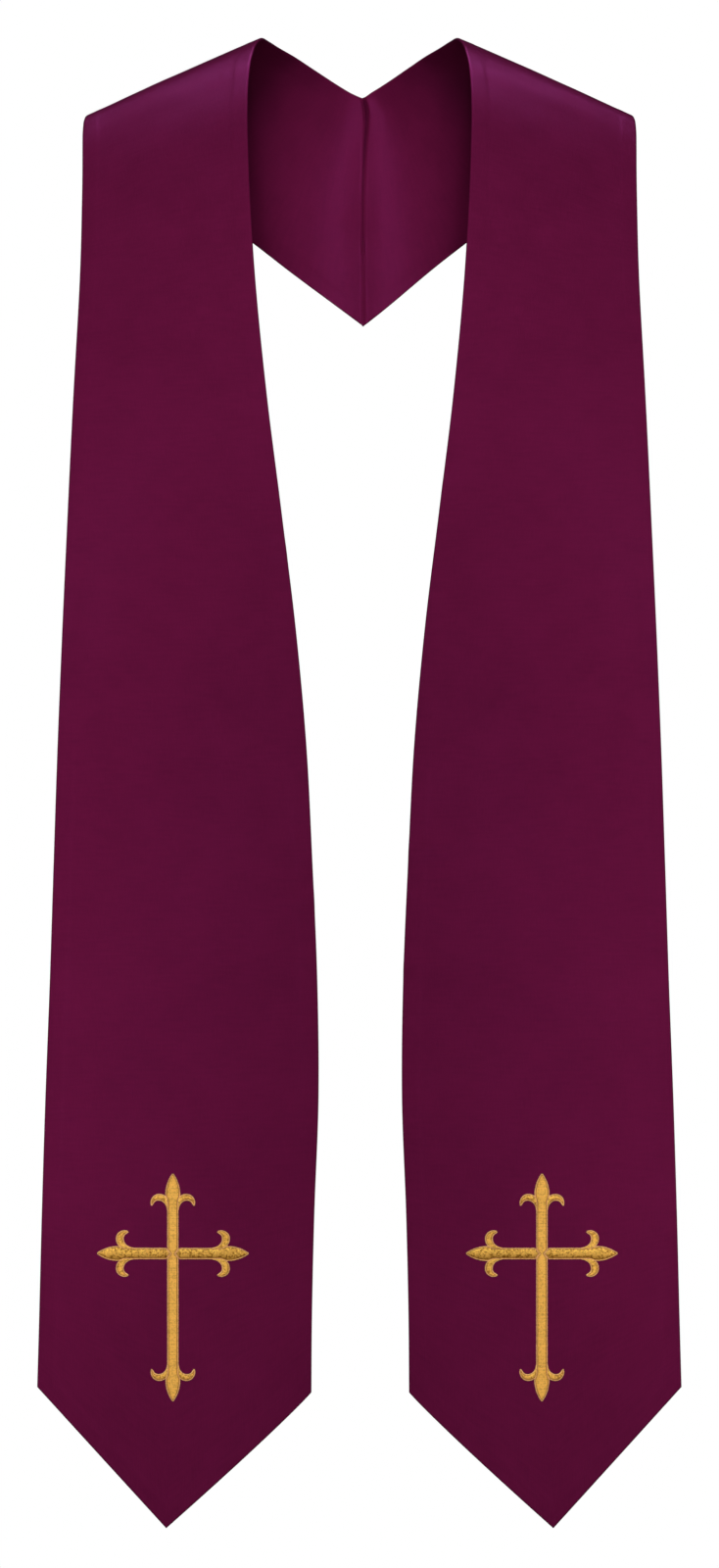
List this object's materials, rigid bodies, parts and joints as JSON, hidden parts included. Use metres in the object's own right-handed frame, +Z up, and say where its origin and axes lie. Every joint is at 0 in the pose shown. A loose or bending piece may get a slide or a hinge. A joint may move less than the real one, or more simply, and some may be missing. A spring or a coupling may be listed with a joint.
{
  "type": "choir stole",
  "caption": "Long satin stole worn open over the shoulders, with a mitred seam at the centre back, pointed front ends and an embroidered cross above each point.",
  "frame": {"origin": "on the shoulder line, midway between the two places where the neck side of the cloth lies on the shoulders, at the cloth's inner face", "axes": "+Z up, -Y to the front of the garment, +X to the right as seen from the front"},
  "size_m": [0.331, 0.2135, 0.7809],
  "materials": {
    "satin": "satin",
    "gold_thread": "lustrous thread"
  },
  "bodies": {
    "root": {"left_panel": "satin", "right_panel": "satin", "left_cross": "gold_thread", "right_cross": "gold_thread"}
  },
  "joints": []
}
